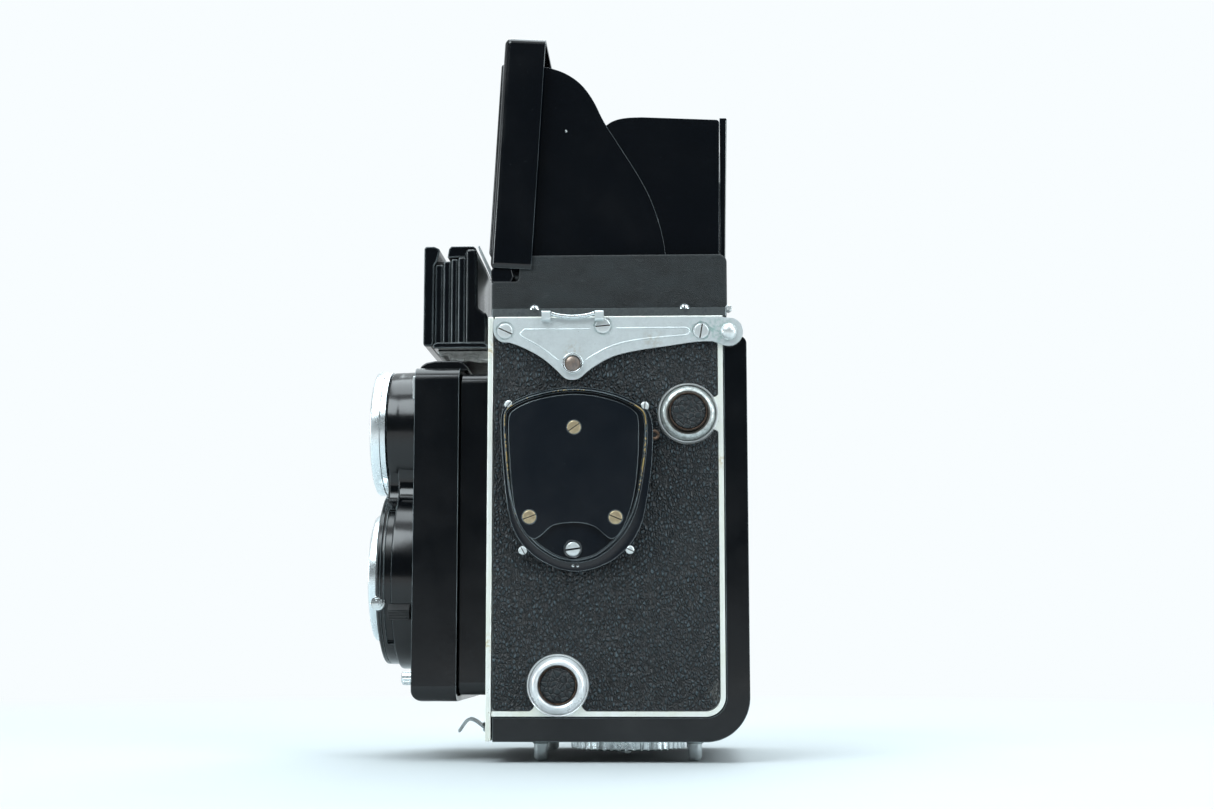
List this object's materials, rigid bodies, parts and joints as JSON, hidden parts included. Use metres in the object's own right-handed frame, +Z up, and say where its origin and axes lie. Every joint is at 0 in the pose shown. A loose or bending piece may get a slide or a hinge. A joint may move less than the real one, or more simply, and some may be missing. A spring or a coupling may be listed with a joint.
{
  "type": "twin lens reflex camera",
  "caption": "Roll film camera with a viewing lens above its taking lens, a focusing lens panel, a folding viewing hood, a winding crank and a hinged back.",
  "frame": {"origin": "centre of the bounding box on the table under the feet", "axes": "-X is the way the lenses look, +Z is up, -Y is the viewer's left hand side"},
  "size_m": [0.111, 0.0942, 0.2099],
  "materials": {
    "satin_aluminium": "satin",
    "chrome": "polished",
    "black_enamel": "gloss enamel worn to the metal at its edges",
    "matt_black": "matt black",
    "black_leather": "pebbled grain",
    "worn_leather": "smooth and worn",
    "grey_metal": "dull, a little corroded",
    "glass": "clear",
    "mirror": "silvered"
  },
  "bodies": {
    "body": {"body_casting": "satin_aluminium", "front_plate": "satin_aluminium", "side_trim_left": "satin_aluminium", "side_trim_right": "satin_aluminium", "side_leather_left": "black_leather", "side_leather_right": "black_leather", "strap_plate_left": "satin_aluminium", "strap_plate_right": "satin_aluminium", "meter_case": "black_enamel", "meter_face": "black_enamel", "reflex_mirror": "mirror", "bellows_shroud": "matt_black", "cell_housing": "black_enamel", "cell_window": "matt_black", "cell_bracket": "grey_metal", "cell_shield": "grey_metal", "crank_plate": "satin_aluminium", "counter_window": "glass", "hood_rail": "grey_metal", "focusing_screen": "glass", "hood_base": "worn_leather"},
    "bail_left": {"strap_bail_left": "chrome"},
    "bail_right": {"strap_bail_right": "chrome"},
    "knob_lower": {"spool_knob_lower": "chrome"},
    "knob_upper": {"spool_knob_upper": "chrome"},
    "supply": {"supply_spool": "matt_black"},
    "take_up": {"take_up_spool": "matt_black", "film_drive_key": "chrome"},
    "roller": {"film_roller_lower": "satin_aluminium"},
    "back": {"back_cover": "black_enamel", "back_leather": "black_leather", "pressure_plate": "matt_black", "tripod_socket": "chrome", "foot_near_front": "satin_aluminium", "foot_near_rear": "satin_aluminium", "foot_far_front": "satin_aluminium", "foot_far_rear": "satin_aluminium"},
    "dial": {"back_lock_dial": "chrome"},
    "standard": {"front_standard": "black_enamel", "shutter_housing": "black_enamel", "taking_bayonet": "chrome", "viewing_bayonet": "chrome", "taking_barrel": "matt_black", "viewing_barrel": "matt_black", "taking_glass": "glass", "viewing_glass": "glass", "viewing_collar": "black_enamel"},
    "aperture": {"aperture_ring": "black_enamel"},
    "timer": {"timer_lever": "chrome"},
    "release": {"release_button": "chrome"},
    "focus": {"focus_lever": "grey_metal"},
    "crank": {"crank_arm": "chrome"},
    "crank_grip": {"crank_handle": "matt_black"},
    "leaf_left": {"hood_leaf_left": "black_enamel"},
    "leaf_right": {"hood_leaf_right": "black_enamel"},
    "rear_panel": {"hood_rear_panel": "black_enamel"},
    "lid": {"hood_lid": "black_enamel"},
    "magnifier": {"magnifier_frame": "matt_black", "magnifier_lens": "glass"}
  },
  "joints": [
    {"name": "bail_left_swing", "type": "hinge", "parent": "body", "child": "bail_left", "pos_m": [0.00602, -0.0441, 0.1263], "axis": [-1, 0, 0], "range_deg": [0, 95]},
    {"name": "bail_right_swing", "type": "hinge", "parent": "body", "child": "bail_right", "pos_m": [0.00602, 0.0383, 0.1263], "axis": [1, 0, 0], "range_deg": [0, 95]},
    {"name": "knob_lower_pull", "type": "slide", "parent": "body", "child": "knob_lower", "axis": [0, -1, 0], "range_m": [0, 0.006], "stiffness_N_per_m": 300},
    {"name": "knob_upper_pull", "type": "slide", "parent": "body", "child": "knob_upper", "axis": [0, -1, 0], "range_m": [0, 0.006], "stiffness_N_per_m": 300},
    {"name": "supply_spin", "type": "hinge", "parent": "body", "child": "supply", "pos_m": [0.002, -0.0029, 0.0214], "axis": [0, 1, 0], "continuous": true},
    {"name": "take_up_spin", "type": "hinge", "parent": "body", "child": "take_up", "pos_m": [0.03876, -0.0029, 0.09765], "axis": [0, 1, 0], "range_deg": [0, 270]},
    {"name": "roller_spin", "type": "hinge", "parent": "body", "child": "roller", "pos_m": [0.0424, -0.0029, 0.0194], "axis": [0, 1, 0], "continuous": true},
    {"name": "back_hinge", "type": "hinge", "parent": "body", "child": "back", "pos_m": [0.0504, -0.0029, 0.1209], "axis": [0, -1, 0], "range_deg": [0, 100]},
    {"name": "dial_turn", "type": "hinge", "parent": "back", "child": "dial", "pos_m": [0.0206, -0.0029, 0], "axis": [0, 0, 1], "range_deg": [0, 90]},
    {"name": "standard_slide", "type": "slide", "parent": "body", "child": "standard", "axis": [1, 0, 0], "range_m": [-0.002, 0.006]},
    {"name": "focus_swing", "type": "hinge", "parent": "body", "child": "focus", "pos_m": [-0.0214, -0.0029, 0.008], "axis": [0, 0, 1], "range_deg": [-25, 75]},
    {"name": "aperture_turn", "type": "hinge", "parent": "standard", "child": "aperture", "pos_m": [0.0188, -0.0029, 0.0526], "axis": [1, 0, 0], "range_deg": [-60, 60]},
    {"name": "timer_swing", "type": "hinge", "parent": "standard", "child": "timer", "pos_m": [0.0188, -0.0029, 0.0526], "axis": [1, 0, 0], "range_deg": [-25, 0]},
    {"name": "release_press", "type": "slide", "parent": "standard", "child": "release", "axis": [1, 0, 0], "range_m": [0, 0.0025], "stiffness_N_per_m": 400},
    {"name": "crank_turn", "type": "hinge", "parent": "body", "child": "crank", "pos_m": [0.0258, -0.0029, 0.074], "axis": [0, 1, 0], "range_deg": [0, 270]},
    {"name": "crank_grip_spin", "type": "hinge", "parent": "crank", "child": "crank_grip", "pos_m": [0.0258, -0.0029, 0.048], "axis": [0, 1, 0], "continuous": true},
    {"name": "leaf_left_fold", "type": "hinge", "parent": "body", "child": "leaf_left", "pos_m": [0.0188, -0.0354, 0.1385], "axis": [-1, 0, 0], "range_deg": [0, 90]},
    {"name": "leaf_right_fold", "type": "hinge", "parent": "body", "child": "leaf_right", "pos_m": [0.0188, 0.0296, 0.1362], "axis": [1, 0, 0], "range_deg": [0, 90]},
    {"name": "rear_panel_fold", "type": "hinge", "parent": "body", "child": "rear_panel", "pos_m": [0.0492, -0.0029, 0.1406], "axis": [0, -1, 0], "range_deg": [0, 90]},
    {"name": "lid_tilt", "type": "hinge", "parent": "body", "child": "lid", "pos_m": [-0.0158, -0.0029, 0.1384], "axis": [0, -1, 0], "range_deg": [0, 6]},
    {"name": "magnifier_flip", "type": "hinge", "parent": "lid", "child": "magnifier", "pos_m": [-0.0122, -0.0029, 0.196], "axis": [0, -1, 0], "range_deg": [0, 92]}
  ],
  "couplings": [
    {"joint": "take_up_spin", "follows": "crank_turn", "ratio": 1},
    {"joint": "focus_swing", "follows": "standard_slide", "rad_per_m": 218.17}
  ]
}
